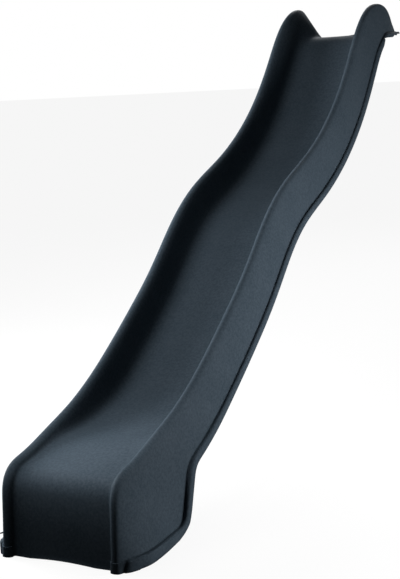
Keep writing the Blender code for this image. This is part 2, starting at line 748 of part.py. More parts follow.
moulded_plastic = material("moulded_polyethylene", (0.036, 0.051, 0.067), 0.45, 0.0)
cap_plastic = material("cap_nylon", (0.020, 0.024, 0.030), 0.50, 0.0)
zinc_steel = material("zinc_plated_steel", (0.55, 0.56, 0.58), 0.35, 1.0)
insert_brass = material("brass", (0.60, 0.42, 0.18), 0.35, 1.0)

slide_shell = shell(moulded_plastic)
trim_shell(slide_shell)
lip_fixings(slide_shell, zinc_steel, cap_plastic)
ground_fixings(slide_shell, zinc_steel, insert_brass)
shade(slide_shell, 40)
place_origin()
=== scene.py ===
"""Moulded wave slide for a 1.5 m play platform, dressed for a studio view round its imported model."""

import json
import math

import bmesh
import bpy
import mathutils
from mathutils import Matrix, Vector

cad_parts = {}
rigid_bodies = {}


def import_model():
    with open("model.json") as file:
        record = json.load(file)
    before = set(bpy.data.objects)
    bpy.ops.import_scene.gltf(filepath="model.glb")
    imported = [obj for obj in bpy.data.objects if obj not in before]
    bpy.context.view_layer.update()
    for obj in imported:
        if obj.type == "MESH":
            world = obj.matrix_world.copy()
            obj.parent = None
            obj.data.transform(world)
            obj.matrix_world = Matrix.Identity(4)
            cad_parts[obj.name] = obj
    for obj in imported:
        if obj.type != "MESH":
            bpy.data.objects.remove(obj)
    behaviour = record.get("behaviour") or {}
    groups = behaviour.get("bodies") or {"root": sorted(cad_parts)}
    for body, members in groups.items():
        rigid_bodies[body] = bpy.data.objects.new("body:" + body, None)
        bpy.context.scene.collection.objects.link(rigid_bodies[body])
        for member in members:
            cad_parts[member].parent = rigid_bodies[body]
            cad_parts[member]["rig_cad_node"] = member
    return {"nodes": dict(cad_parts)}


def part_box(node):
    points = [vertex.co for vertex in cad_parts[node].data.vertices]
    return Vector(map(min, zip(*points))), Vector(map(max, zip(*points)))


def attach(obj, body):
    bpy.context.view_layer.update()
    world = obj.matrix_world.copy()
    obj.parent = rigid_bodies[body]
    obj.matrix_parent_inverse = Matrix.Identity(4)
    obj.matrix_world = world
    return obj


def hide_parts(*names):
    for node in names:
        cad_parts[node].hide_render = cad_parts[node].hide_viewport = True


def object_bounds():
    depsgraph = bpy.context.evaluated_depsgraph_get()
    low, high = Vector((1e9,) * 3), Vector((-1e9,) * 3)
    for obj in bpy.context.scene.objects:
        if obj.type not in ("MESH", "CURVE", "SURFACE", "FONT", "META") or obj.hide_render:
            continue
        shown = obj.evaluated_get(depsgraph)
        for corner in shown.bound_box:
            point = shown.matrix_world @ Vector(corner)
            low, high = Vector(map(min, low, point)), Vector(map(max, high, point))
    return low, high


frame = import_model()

cad_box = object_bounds()
bpy.ops.object.select_all(action="DESELECT")


# The slide body
# One seamless polyethylene moulding: trough, rolled edges, skirts, stepped band and exit foot in one wall,
# open underneath. It is cast in a turning mould, which rounds its corners and leaves a fine grain on it.
CORNER_ZONE = 0.048
HOLLOW_ANGLE = math.radians(22)
GROOVE_INSET = 0.0012
GROOVE_DEPTH = 0.0012
COLLAR_HEIGHT = 0.034
COLLAR_STEP = 0.0032
COLLAR_INNER_X = 0.184
FRONT_MARGIN = 0.0002
CRISP_ANGLE = math.radians(50)
SMOOTH_ANGLE = math.radians(40)
ROUNDING_FIT = 0.99999
front_y = cad_box[0][1]
corner_y = front_y + CORNER_ZONE
front_face_y = front_y + FRONT_MARGIN


def copy_of(node, name):
    """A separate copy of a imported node's mesh, welded so that its faces share corners."""
    source = frame["nodes"][node]
    source.select_set(True)
    bpy.context.view_layer.objects.active = source
    bpy.ops.object.duplicate()
    piece = bpy.context.object
    piece.name = name
    piece.data.name = name
    del piece["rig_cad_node"]
    bpy.ops.object.mode_set(mode="EDIT")
    bpy.ops.mesh.select_all(action="SELECT")
    bpy.ops.mesh.remove_doubles(threshold=0.00002)
    bpy.ops.mesh.tris_convert_to_quads(face_threshold=math.radians(35), shape_threshold=math.radians(70))
    bpy.ops.object.mode_set(mode="OBJECT")
    return piece


def pick(piece, kind, test):
    """Selects, in edit mode, the faces, edges or vertices of a piece that pass a test."""
    bpy.ops.mesh.select_mode(type=kind)
    bpy.ops.mesh.select_all(action="DESELECT")
    mesh = bmesh.from_edit_mesh(piece.data)
    for element in {"FACE": mesh.faces, "EDGE": mesh.edges, "VERT": mesh.verts}[kind]:
        element.select = bool(test(element))
    mesh.select_flush_mode()
    bmesh.update_edit_mesh(piece.data)


def sideways(face):
    """How far a face looks out from the slide's middle plane: 1 straight out, -1 straight in."""
    return face.normal.x * math.copysign(1.0, face.calc_center_median().x)


def is_groove_floor(face):
    """Whether a face is the strip between skirt and band: looking out, with a hollow corner on two sides."""
    hollow = 0
    for edge in face.edges:
        if len(edge.link_faces) == 2 and edge.calc_face_angle_signed() < -HOLLOW_ANGLE:
            hollow += 1
    return hollow >= 2 and sideways(face) > 0.2 and face.calc_center_median().y > corner_y


def is_collar(face):
    """Whether a face belongs to the low collar that leads the band round the foot's front corners."""
    middle = face.calc_center_median()
    in_zone = middle.z < COLLAR_HEIGHT and middle.y < corner_y and abs(middle.x) > COLLAR_INNER_X
    return in_zone and abs(face.normal.z) < 0.6 and (face.normal.y < -0.2 or sideways(face) > 0.5)


slide_body = copy_of("slide_shell", "moulded_slide_body")
bpy.ops.object.mode_set(mode="EDIT")

# A narrow channel sunk along the band
pick(slide_body, "FACE", is_groove_floor)
bpy.ops.mesh.inset(thickness=GROOVE_INSET)
bpy.ops.transform.shrink_fatten(value=-GROOVE_DEPTH)

# The collar, kept flat at the front
bpy.ops.mesh.select_all(action="SELECT")
bpy.ops.mesh.bisect(plane_co=(0.0, 0.0, COLLAR_HEIGHT), plane_no=(0.0, 0.0, 1.0))
pick(slide_body, "FACE", is_collar)
bpy.ops.mesh.extrude_region_shrink_fatten(TRANSFORM_OT_shrink_fatten={"value": COLLAR_STEP})
pick(slide_body, "VERT", lambda vertex: vertex.co.y < front_face_y)
bpy.ops.transform.resize(value=(1.0, 0.0, 1.0), center_override=(0.0, front_face_y, 0.0))

# Every corner rounded but the crisp ones
bpy.ops.mesh.select_mode(type="EDGE")
bpy.ops.mesh.select_all(action="DESELECT")
bpy.ops.mesh.edges_select_sharp(sharpness=CRISP_ANGLE)
bpy.ops.transform.edge_crease(value=1.0)
bpy.ops.mesh.select_all(action="DESELECT")
bpy.ops.object.mode_set(mode="OBJECT")
rounding = slide_body.modifiers.new("rounding", "SUBSURF")
rounding.levels = 1
rounding.render_levels = 1
bpy.ops.object.modifier_apply(modifier="rounding")

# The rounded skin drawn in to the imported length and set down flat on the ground
bpy.ops.object.mode_set(mode="EDIT")
bpy.ops.mesh.select_all(action="SELECT")
bpy.ops.transform.resize(value=(1.0, ROUNDING_FIT, 1.0), center_override=(0.0, 0.0, 0.0))
pick(slide_body, "VERT", lambda vertex: vertex.co.z < 0.0)
bpy.ops.transform.resize(value=(1.0, 1.0, 0.0), center_override=(0.0, 0.0, 0.0))
bpy.ops.object.mode_set(mode="OBJECT")
bpy.ops.object.shade_smooth_by_angle(angle=SMOOTH_ANGLE)


def group_of(name, inputs, outputs):
    """An empty shader group with the given sockets, and its two end nodes."""
    made = bpy.data.node_groups.new(name, "ShaderNodeTree")
    for label, kind, value in inputs:
        socket = made.interface.new_socket(label, in_out="INPUT", socket_type=kind)
        if value is not None:
            socket.default_value = value
    for label, kind in outputs:
        made.interface.new_socket(label, in_out="OUTPUT", socket_type=kind)
    return made, made.nodes.new("NodeGroupInput"), made.nodes.new("NodeGroupOutput")


def noise(tree, vector, scale, detail, roughness=0.5):
    """A noise texture on a vector; gives its value socket."""
    made = tree.nodes.new("ShaderNodeTexNoise")
    made.inputs["Scale"].default_value = scale
    made.inputs["Detail"].default_value = detail
    made.inputs["Roughness"].default_value = roughness
    tree.links.new(vector, made.inputs["Vector"])
    return made.outputs["Fac"]


def spread(tree, value, low, high, start=0.3, end=0.7):
    """Maps a value's range from start to end onto low to high."""
    made = tree.nodes.new("ShaderNodeMapRange")
    made.inputs["From Min"].default_value = start
    made.inputs["From Max"].default_value = end
    made.inputs["To Min"].default_value = low
    made.inputs["To Max"].default_value = high
    tree.links.new(value, made.inputs["Value"])
    return made.outputs["Result"]


def weighed(tree, value, weight, rest):
    """A value times its weight, added to another value."""
    made = tree.nodes.new("ShaderNodeMath")
    made.operation = "MULTIPLY_ADD"
    made.inputs[1].default_value = weight
    tree.links.new(value, made.inputs[0])
    tree.links.new(rest, made.inputs[2])
    return made.outputs[0]


def blended(tree, share, first, second):
    """A colour between two colours."""
    made = tree.nodes.new("ShaderNodeMix")
    made.data_type = "RGBA"
    made.inputs["A"].default_value = (*first, 1.0)
    made.inputs["B"].default_value = (*second, 1.0)
    tree.links.new(share, made.inputs["Factor"])
    return made.outputs["Result"]


# The grain that the mould leaves in plastic: fine pits with a soft unevenness under them
PIT_SCALE = 900.0
PIT_HEIGHT = 0.0004
WAVE_SCALE = 14.0
WAVE_HEIGHT = 0.0008
WAVE_STRENGTH = 0.25
grain, grain_in, grain_out = group_of(
    "mould_grain",
    [("Vector", "NodeSocketVector", None), ("Depth", "NodeSocketFloat", 0.3)],
    [("Normal", "NodeSocketVector"), ("Pits", "NodeSocketFloat")],
)
pits = noise(grain, grain_in.outputs["Vector"], PIT_SCALE, detail=3.0, roughness=0.6)
waves = noise(grain, grain_in.outputs["Vector"], WAVE_SCALE, detail=2.0)
fine = grain.nodes.new("ShaderNodeBump")
fine.inputs["Distance"].default_value = PIT_HEIGHT
grain.links.new(grain_in.outputs["Depth"], fine.inputs["Strength"])
grain.links.new(pits, fine.inputs["Height"])
broad = grain.nodes.new("ShaderNodeBump")
broad.inputs["Distance"].default_value = WAVE_HEIGHT
broad.inputs["Strength"].default_value = WAVE_STRENGTH
grain.links.new(waves, broad.inputs["Height"])
grain.links.new(broad.outputs["Normal"], fine.inputs["Normal"])
grain.links.new(fine.outputs["Normal"], grain_out.inputs["Normal"])
# The Pits output is the grain's height; colours that use it paint shade into the pits and light onto the tops
grain.links.new(pits, grain_out.inputs["Pits"])


def material_of(name):
    """A new material, its node tree, its surface shader and the object coordinates."""
    made = bpy.data.materials.new(name)
    made.use_nodes = True
    tree = made.node_tree
    place = tree.nodes.new("ShaderNodeTexCoord").outputs["Object"]
    return made, tree, tree.nodes["Principled BSDF"], place


def add_grain(tree, shader, place, depth):
    """Links the mould grain to a surface; gives the grain's height, which the plastic and nylon colours use
    for painted shade in the pits.
    """
    used = tree.nodes.new("ShaderNodeGroup")
    used.node_tree = grain
    used.inputs["Depth"].default_value = depth
    tree.links.new(place, used.inputs["Vector"])
    tree.links.new(used.outputs["Normal"], shader.inputs["Normal"])
    return used.outputs["Pits"]


# Blue-grey polyethylene: clouds a hand wide and flecks of a few millimetres, with painted shade in the
# grain's pits and painted light on its tops
PLASTIC_DARK = (0.0255, 0.0375, 0.0490)
PLASTIC_LIGHT = (0.0490, 0.0640, 0.0800)
CLOUD_SHARE = 0.25
FLECK_SHARE = 0.50
PIT_SHADE_SHARE = 0.25
plastic, tree, shader, place = material_of("grained_polyethylene")
# The grain's height, used below as painted shade: darker in the pits, lighter on the tops
plastic_pit_shade = add_grain(tree, shader, place, depth=0.6)
cloud = noise(tree, place, scale=5.5, detail=4.0, roughness=0.55)
fleck = noise(tree, place, scale=120.0, detail=3.0, roughness=0.7)
clouded = spread(tree, cloud, 0.0, CLOUD_SHARE)
flecked = weighed(tree, spread(tree, fleck, 0.0, 1.0, start=0.38, end=0.62), FLECK_SHARE, clouded)
# Clouds and flecks are the plastic's own tone; the pit term adds painted shade and light
mottle_and_pit_shade = weighed(tree, spread(tree, plastic_pit_shade, 0.0, 1.0), PIT_SHADE_SHARE, flecked)
tree.links.new(blended(tree, mottle_and_pit_shade, PLASTIC_DARK, PLASTIC_LIGHT), shader.inputs["Base Color"])
sheen = noise(tree, place, scale=9.0, detail=5.0)
tree.links.new(spread(tree, sheen, 0.52, 0.66), shader.inputs["Roughness"])
shader.inputs["Specular IOR Level"].default_value = 0.01
slide_body.data.materials.clear()
slide_body.data.materials.append(plastic)
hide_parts("slide_shell")
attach(slide_body, "root")
bpy.ops.object.select_all(action="DESELECT")


# The cap bases
# Moulded nylon cups on the lip, one under each coach screw. The washer presses the cup's floor down, and the
# cup's rim takes the snap cap.
LIP_NUMBERS = (1, 2, 3)
SCREW_HOLE_RADIUS = 0.0035
BASE_RADIUS = 0.0119
BASE_HEIGHT = 0.0040
BASE_RIM = 0.0030
BASE_WELL_DEPTH = 0.0032
BASE_EDGE = 0.00025
# Nylon in painted shade and in painted light: its colour goes from one to the other with the grain's height
NYLON_SHADED = (0.016, 0.019, 0.024)
NYLON_LIT = (0.025, 0.030, 0.037)


def round_bar(name, radius, height, sides=48):
    """A round bar, or with six sides a hexagonal one, that stands on its own origin, left in edit mode."""
    bpy.ops.object.select_all(action="DESELECT")
    middle = (0.0, 0.0, height / 2)
    bpy.ops.mesh.primitive_cylinder_add(vertices=sides, radius=radius, depth=height, location=middle)
    bpy.ops.object.transform_apply(location=True, rotation=False, scale=False)
    piece = bpy.context.object
    piece.name = name
    bpy.ops.object.mode_set(mode="EDIT")
    return piece


def is_top(face):
    """Whether a face looks straight up."""
    return face.normal.z > 0.9


def is_underside(face):
    """Whether a face looks straight down."""
    return face.normal.z < -0.9


def is_end(face):
    """Whether a face lies square across the Z axis, with its middle on it."""
    return abs(face.normal.z) > 0.9 and face.calc_center_median().xy.length < 0.00001


def stretch(distance):
    """Extrudes the selected faces straight up or down."""
    bpy.ops.mesh.extrude_region_move(TRANSFORM_OT_translate={"value": (0.0, 0.0, distance)})


def soften(width, angle=30.0):
    """Rounds a piece's sharp edges, as tumbling or moulding does."""
    bpy.ops.mesh.select_mode(type="EDGE")
    bpy.ops.mesh.select_all(action="DESELECT")
    bpy.ops.mesh.edges_select_sharp(sharpness=math.radians(angle))
    bpy.ops.mesh.bevel(offset=width, segments=2, affect="EDGES", clamp_overlap=True)
    bpy.ops.mesh.select_all(action="SELECT")
    bpy.ops.mesh.normals_make_consistent(inside=False)
    bpy.ops.object.mode_set(mode="OBJECT")
    bpy.ops.object.shade_smooth_by_angle(angle=SMOOTH_ANGLE)


def set_out(pattern, surface, places):
    """Puts a copy of a pattern, with its own mesh, in each named node's place, turned about Y and then Z."""
    bpy.ops.object.select_all(action="DESELECT")
    pattern.select_set(True)
    bpy.context.view_layer.objects.active = pattern
    pattern.data.materials.append(surface)
    bpy.ops.object.origin_set(type="ORIGIN_GEOMETRY", center="BOUNDS")
    for node, turn, spin in places:
        bpy.ops.object.select_all(action="DESELECT")
        pattern.select_set(True)
        bpy.context.view_layer.objects.active = pattern
        bpy.ops.object.duplicate(linked=False)
        piece = bpy.context.object
        piece.name = f"fitted_{node}"
        piece.data.name = piece.name
        low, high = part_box(node)
        piece.location = (low + high) / 2
        piece.rotation_euler = (0.0, turn, spin)
        bpy.ops.object.transform_apply(location=True, rotation=True, scale=True)
        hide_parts(node)
        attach(piece, "root")
    bpy.data.objects.remove(pattern)
    bpy.ops.object.select_all(action="DESELECT")


base = round_bar("cap_base_pattern", BASE_RADIUS, BASE_HEIGHT, sides=64)
pick(base, "FACE", is_top)
bpy.ops.mesh.inset(thickness=BASE_RIM)
stretch(-BASE_WELL_DEPTH)
bpy.ops.mesh.inset(thickness=BASE_RADIUS - BASE_RIM - SCREW_HOLE_RADIUS)
pick(base, "FACE", is_underside)
bpy.ops.mesh.inset(thickness=BASE_RADIUS - SCREW_HOLE_RADIUS)
pick(base, "FACE", is_end)
bpy.ops.mesh.bridge_edge_loops()
soften(BASE_EDGE)

# Nylon, nearly black and finely pitted, with painted shade in the pits and painted light on the grain's tops
nylon, tree, shader, place = material_of("black_cap_nylon")
nylon_pit_shade = spread(tree, add_grain(tree, shader, place, depth=0.12), 0.0, 1.0)
tree.links.new(blended(tree, nylon_pit_shade, NYLON_SHADED, NYLON_LIT), shader.inputs["Base Color"])
dulling = noise(tree, place, scale=240.0, detail=3.0)
tree.links.new(spread(tree, dulling, 0.40, 0.56), shader.inputs["Roughness"])
set_out(base, nylon, [(f"lip_cap_base_{number}", 0.0, 0.0) for number in LIP_NUMBERS])


# The lip's washers
# Flat steel washers, stamped from zinc-plated sheet, which spread each screw's pull on its cap base. Each is
# turned by its own angle, as it was dropped on.
LIP_WASHER_RADIUS = 0.0085
LIP_WASHER_THICKNESS = 0.0012
LIP_WASHER_EDGE = 0.00015
LIP_WASHER_SPIN = 0.7
ZINC_DULL = (0.46, 0.48, 0.51)
ZINC_BRIGHT = (0.60, 0.61, 0.62)


def bore(piece, wall):
    """Bores a piece through along its axis, leaving a wall: insets both end faces and bridges them."""
    pick(piece, "FACE", is_end)
    bpy.ops.mesh.inset(thickness=wall)
    bpy.ops.mesh.bridge_edge_loops()


washer = round_bar("lip_washer_pattern", LIP_WASHER_RADIUS, LIP_WASHER_THICKNESS)
bore(washer, LIP_WASHER_RADIUS - SCREW_HOLE_RADIUS)
soften(LIP_WASHER_EDGE)

# Zinc plating: bright, slightly blue, with cloudy patches
zinc, tree, shader, place = material_of("bright_zinc_plating")
patches = spread(tree, noise(tree, place, scale=90.0, detail=4.0), 0.0, 1.0)
tree.links.new(blended(tree, patches, ZINC_DULL, ZINC_BRIGHT), shader.inputs["Base Color"])
rubbing = noise(tree, place, scale=700.0, detail=3.0)
tree.links.new(spread(tree, rubbing, 0.26, 0.44), shader.inputs["Roughness"])
shader.inputs["Metallic"].default_value = 1.0
add_grain(tree, shader, place, depth=0.05)
set_out(washer, zinc, [
    (f"lip_washer_{number}", 0.0, LIP_WASHER_SPIN * number)
    for number in LIP_NUMBERS
])


# The coach screws
# Hexagon-headed wood screws, 6 mm thick and 50 mm long, cold-headed from wire, with a rolled thread. They go
# down through the lip into the platform.
COACH_SCREW_SPIN = 0.4
SHOULDER_RUN = 0.0005
SHANK_EDGE = 0.00005
HEAD_EDGE = 0.0002
CHAMFER_RUN_SHARE = 0.09
CHAMFER_DROP_SHARE = 0.05
THREAD_STEPS = 24


def rolled_thread(shank_radius, core_radius, start, pitch, turns):
    """A helical ridge round the Z axis from a height downwards, as one piece with closed ends."""
    bpy.ops.object.select_all(action="DESELECT")
    depth = shank_radius - core_radius
    lowest = (core_radius, 0.0, start - pitch * turns)
    bpy.ops.mesh.primitive_circle_add(vertices=3, radius=depth, location=lowest)
    ridge = bpy.context.object
    ridge.rotation_euler = (math.pi / 2, math.pi / 2, 0.0)
    bpy.ops.object.transform_apply(location=True, rotation=True, scale=True)
    bpy.ops.object.mode_set(mode="EDIT")
    reach = max(vertex.co.x for vertex in bmesh.from_edit_mesh(ridge.data).verts)
    bpy.ops.mesh.select_all(action="SELECT")
    bpy.ops.transform.translate(value=(shank_radius - reach, 0.0, 0.0))
    bpy.ops.object.mode_set(mode="OBJECT")
    winding = ridge.modifiers.new("winding", "SCREW")
    winding.axis = "Z"
    winding.angle = 2 * math.pi
    winding.screw_offset = pitch
    winding.iterations = turns
    winding.steps = THREAD_STEPS
    winding.render_steps = THREAD_STEPS
    bpy.ops.object.modifier_apply(modifier="winding")
    bpy.ops.object.mode_set(mode="EDIT")
    bpy.ops.mesh.select_all(action="DESELECT")
    bpy.ops.mesh.select_mode(type="EDGE")
    bpy.ops.mesh.select_non_manifold()
    bpy.ops.mesh.edge_face_add()
    bpy.ops.mesh.select_all(action="SELECT")
    bpy.ops.mesh.normals_make_consistent(inside=False)
    bpy.ops.object.mode_set(mode="OBJECT")
    bpy.ops.object.shade_smooth_by_angle(angle=math.radians(30))
    return ridge


def screw_shank(name, shank_radius, core_radius, length, plain, point, tip):
    """The round bar under a screw's head: plain, then down to the thread's core, then tapered to its tip."""
    shank = round_bar(name, core_radius, length, sides=32)
    pick(shank, "FACE", is_underside)
    bpy.ops.transform.translate(value=(0.0, 0.0, point))
    stretch(-point)
    bpy.ops.transform.resize(value=(tip, tip, 1.0))
    pick(shank, "FACE", is_top)
    bpy.ops.transform.translate(value=(0.0, 0.0, -plain))
    stretch(SHOULDER_RUN)
    bpy.ops.transform.resize(value=(shank_radius / core_radius, shank_radius / core_radius, 1.0))
    stretch(plain - SHOULDER_RUN)
    bpy.ops.mesh.select_all(action="SELECT")
    bpy.ops.transform.translate(value=(0.0, 0.0, -length))
    soften(SHANK_EDGE)
    return shank


def hexagon_head(name, across, height):
    """A hexagon head with its upper corners chamfered, standing on the origin."""
    head = round_bar(name, across / 2 / math.cos(math.pi / 6), height, sides=6)
    pick(head, "FACE", is_top)
    bpy.ops.mesh.inset(thickness=across * CHAMFER_RUN_SHARE)
    pick(head, "VERT", lambda vertex: vertex.co.z > height - 0.000001 and vertex.co.xy.length > across * 0.52)
    bpy.ops.transform.translate(value=(0.0, 0.0, -across * CHAMFER_DROP_SHARE))
    bpy.ops.mesh.select_all(action="SELECT")
    soften(HEAD_EDGE, 20.0)
    return head


def headed_screw(name, across, head_height, shank_radius, core_radius, length, plain, pitch, point, tip):
    """A screw with its hexagon head at the origin and its shank down from it, as one object."""
    shank = screw_shank(f"{name}_shank", shank_radius, core_radius, length, plain, point, tip)
    turns = int((length - plain - point - pitch) / pitch)
    ridge = rolled_thread(shank_radius, core_radius, -plain - pitch / 2, pitch, turns)
    head = hexagon_head(f"{name}_pattern", across, head_height)
    for part in (shank, ridge, head):
        part.select_set(True)
    bpy.context.view_layer.objects.active = head
    bpy.ops.object.join()
    return head


coach_screw = headed_screw(
    "coach_screw",
    across=0.0100,
    head_height=0.0040,
    shank_radius=0.0030,
    core_radius=0.0021,
    length=0.050,
    plain=0.014,
    pitch=0.0026,
    point=0.008,
    tip=0.15,
)
set_out(coach_screw, zinc, [
    (f"lip_screw_{number}", 0.0, COACH_SCREW_SPIN * number)
    for number in LIP_NUMBERS
])


# The snap caps
# Thin domed nylon covers that click over the cap bases and hide the screw heads, so that nothing catches on a
# child's clothes.
CAP_RADIUS = 0.0135
CAP_HEIGHT = 0.0081
CAP_WALL = 0.0012
CAP_DOME_RADIUS = 0.0036
CAP_INNER_RADIUS = 0.0030
CAP_EDGE = 0.0002
CAP_SPIN = 0.3


def lies_at(edge, height):
    """Whether both ends of an edge lie at a height."""
    return all(abs(vertex.co.z - height) < 0.00001 for vertex in edge.verts)


cap = round_bar("snap_cap_pattern", CAP_RADIUS, CAP_HEIGHT, sides=64)
pick(cap, "FACE", is_underside)
bpy.ops.mesh.inset(thickness=CAP_WALL)
stretch(CAP_HEIGHT - CAP_WALL)
pick(cap, "EDGE", lambda edge: lies_at(edge, CAP_HEIGHT))
bpy.ops.mesh.bevel(offset=CAP_DOME_RADIUS, segments=7, affect="EDGES")
pick(cap, "EDGE", lambda edge: lies_at(edge, CAP_HEIGHT - CAP_WALL))
bpy.ops.mesh.bevel(offset=CAP_INNER_RADIUS, segments=4, affect="EDGES")
soften(CAP_EDGE)
set_out(cap, nylon, [(f"lip_cap_{number}", 0.0, CAP_SPIN * number) for number in LIP_NUMBERS])


# The ground brackets
# Angle pieces bent from 3 mm steel strip and zinc-plated, one on each side inside the foot. The standing leg
# is bolted to the foot, and the lying one has a hole for a ground anchor.
STRIP_THICKNESS = 0.003
STRIP_WIDTH = 0.150
LYING_LEG = 0.045
STANDING_LEG = 0.060
INNER_BEND_RADIUS = 0.0030
OUTER_BEND_RADIUS = 0.0058
BRACKET_CORNER_RADIUS = 0.008
BRACKET_EDGE = 0.00025
ANCHOR_HOLE_RADIUS = 0.0055
ANCHOR_HOLE_X = -0.024
BOLT_HOLE_RADIUS = 0.0045
BOLT_HOLE_Y = 0.050
BOLT_HOLE_Z = 0.038
DRILL_LENGTH = 0.012


def drilled(piece, radius, middle, turn):
    """Drills a round hole through a piece, at a place and turned about Y."""
    bpy.ops.object.select_all(action="DESELECT")
    bpy.ops.mesh.primitive_cylinder_add(
        vertices=40, radius=radius, depth=DRILL_LENGTH, location=middle, rotation=(0.0, turn, 0.0)
    )
    drill = bpy.context.object
    hole = piece.modifiers.new("hole", "BOOLEAN")
    hole.operation = "DIFFERENCE"
    hole.solver = "EXACT"
    hole.object = drill
    bpy.context.view_layer.objects.active = piece
    bpy.ops.object.modifier_apply(modifier="hole")
    bpy.data.objects.remove(drill)


def runs_along_bend(edge, x, z):
    """Whether an edge lies along the strip's bend, at a place across it."""
    return all(abs(vertex.co.x - x) < 0.0001 and abs(vertex.co.z - z) < 0.0001 for vertex in edge.verts)


def is_lying_corner(edge):
    """Whether an edge is one of the two upright corners at the lying leg's end."""
    start, end = (vertex.co for vertex in edge.verts)
    at_end = abs(start.x - end.x) < 0.0001 and start.x < -LYING_LEG + 0.0001
    return at_end and start.y * end.y > 0 and abs(start.z - end.z) > 0.002


def is_standing_corner(edge):
    """Whether an edge is one of the two corners at the standing leg's top."""
    start, end = (vertex.co for vertex in edge.verts)
    return min(start.z, end.z) > STANDING_LEG - 0.0001 and abs(start.x - end.x) > 0.002


bpy.ops.mesh.primitive_cube_add(size=1.0, location=(-LYING_LEG / 2, 0.0, STRIP_THICKNESS / 2))
bracket = bpy.context.object
bracket.name = "ground_bracket_pattern"
bracket.scale = (LYING_LEG, STRIP_WIDTH, STRIP_THICKNESS)
bpy.ops.object.transform_apply(location=True, rotation=True, scale=True)
bpy.ops.object.mode_set(mode="EDIT")
bpy.ops.mesh.select_all(action="SELECT")
bpy.ops.mesh.bisect(plane_co=(-STRIP_THICKNESS, 0.0, 0.0), plane_no=(1.0, 0.0, 0.0))
pick(bracket, "FACE", lambda face: is_top(face) and face.calc_center_median().x > -STRIP_THICKNESS)
stretch(STANDING_LEG - STRIP_THICKNESS)
pick(bracket, "EDGE", lambda edge: runs_along_bend(edge, -STRIP_THICKNESS, STRIP_THICKNESS))
bpy.ops.mesh.bevel(offset=INNER_BEND_RADIUS, segments=6, affect="EDGES")
pick(bracket, "EDGE", lambda edge: runs_along_bend(edge, 0.0, 0.0))
bpy.ops.mesh.bevel(offset=OUTER_BEND_RADIUS, segments=8, affect="EDGES")
pick(bracket, "EDGE", is_lying_corner)
bpy.ops.mesh.bevel(offset=BRACKET_CORNER_RADIUS, segments=5, affect="EDGES")
pick(bracket, "EDGE", is_standing_corner)
bpy.ops.mesh.bevel(offset=BRACKET_CORNER_RADIUS, segments=5, affect="EDGES")
bpy.ops.object.mode_set(mode="OBJECT")
drilled(bracket, ANCHOR_HOLE_RADIUS, (ANCHOR_HOLE_X, 0.0, STRIP_THICKNESS / 2), 0.0)
for hole_y in (-BOLT_HOLE_Y, BOLT_HOLE_Y):
    drilled(bracket, BOLT_HOLE_RADIUS, (-STRIP_THICKNESS / 2, hole_y, BOLT_HOLE_Z), math.pi / 2)
bracket.select_set(True)
bpy.ops.object.mode_set(mode="EDIT")
soften(BRACKET_EDGE)
set_out(bracket, zinc, [
    ("ground_bracket_left", 0.0, math.pi),
    ("ground_bracket_right", 0.0, 0.0),
])


# The brackets' bolts
# Hexagon-headed machine bolts, 8 mm thick and 18 mm long, with a fine rolled thread for the inserts. Two go
# through each bracket's standing leg, with their heads towards the slide's middle.
FOOT_PLACES = [(side, name, number) for side, name in ((-1, "left"), (1, "right")) for number in (1, 2)]
bolt = headed_screw(
    "bracket_bolt",
    across=0.0130,
    head_height=0.0053,
    shank_radius=0.0040,
    core_radius=0.0034,
    length=0.018,
    plain=0.003,
    pitch=0.00125,
    point=0.0006,
    tip=0.8,
)
set_out(bolt, zinc, [
    (f"bracket_bolt_{name}_{number}", -side * math.pi / 2, 0.0)
    for side, name, number in FOOT_PLACES
])


# The brackets' washers
# Flat stamped steel washers, one between each bolt head and its bracket. They are plated as the lip's washers
# are and spread the bolts' pull.
BRACKET_WASHER_RADIUS = 0.0080
BRACKET_WASHER_THICKNESS = 0.0016
BRACKET_WASHER_EDGE = 0.0002
washer = round_bar("bracket_washer_pattern", BRACKET_WASHER_RADIUS, BRACKET_WASHER_THICKNESS)
bore(washer, BRACKET_WASHER_RADIUS - BOLT_HOLE_RADIUS)
soften(BRACKET_WASHER_EDGE)
set_out(washer, zinc, [
    (f"bracket_washer_{name}_{number}", side * math.pi / 2, 0.0)
    for side, name, number in FOOT_PLACES
])


# The threaded inserts
# Turned brass sleeves, moulded into bosses in the foot's walls to take the brackets' bolts. Two knurled bands
# keep them from turning.
INSERT_RADIUS = 0.0061
INSERT_LENGTH = 0.0150
INSERT_WALL = 0.0017
INSERT_EDGE = 0.00012
KNURLED_BANDS = ((0.0015, 0.0065), (0.0085, 0.0135))
KNURL_GAP = 0.00015
KNURL_HEIGHT = 0.0004
BRASS_TARNISHED = (0.46, 0.31, 0.12)
BRASS_BRIGHT = (0.64, 0.46, 0.21)


def is_knurl(face):
    """Whether a face of the insert's wall lies in one of the knurled bands."""
    height = face.calc_center_median().z
    return abs(face.normal.z) < 0.1 and any(low < height < high for low, high in KNURLED_BANDS)


insert = round_bar("threaded_insert_pattern", INSERT_RADIUS, INSERT_LENGTH)
for band in KNURLED_BANDS:
    for height in band:
        bpy.ops.mesh.select_all(action="SELECT")
        bpy.ops.mesh.bisect(plane_co=(0.0, 0.0, height), plane_no=(0.0, 0.0, 1.0))
pick(insert, "FACE", is_knurl)
bpy.ops.mesh.inset(thickness=KNURL_GAP, use_individual=True)
bpy.ops.transform.shrink_fatten(value=KNURL_HEIGHT)
bore(insert, INSERT_WALL)
soften(INSERT_EDGE, 50.0)

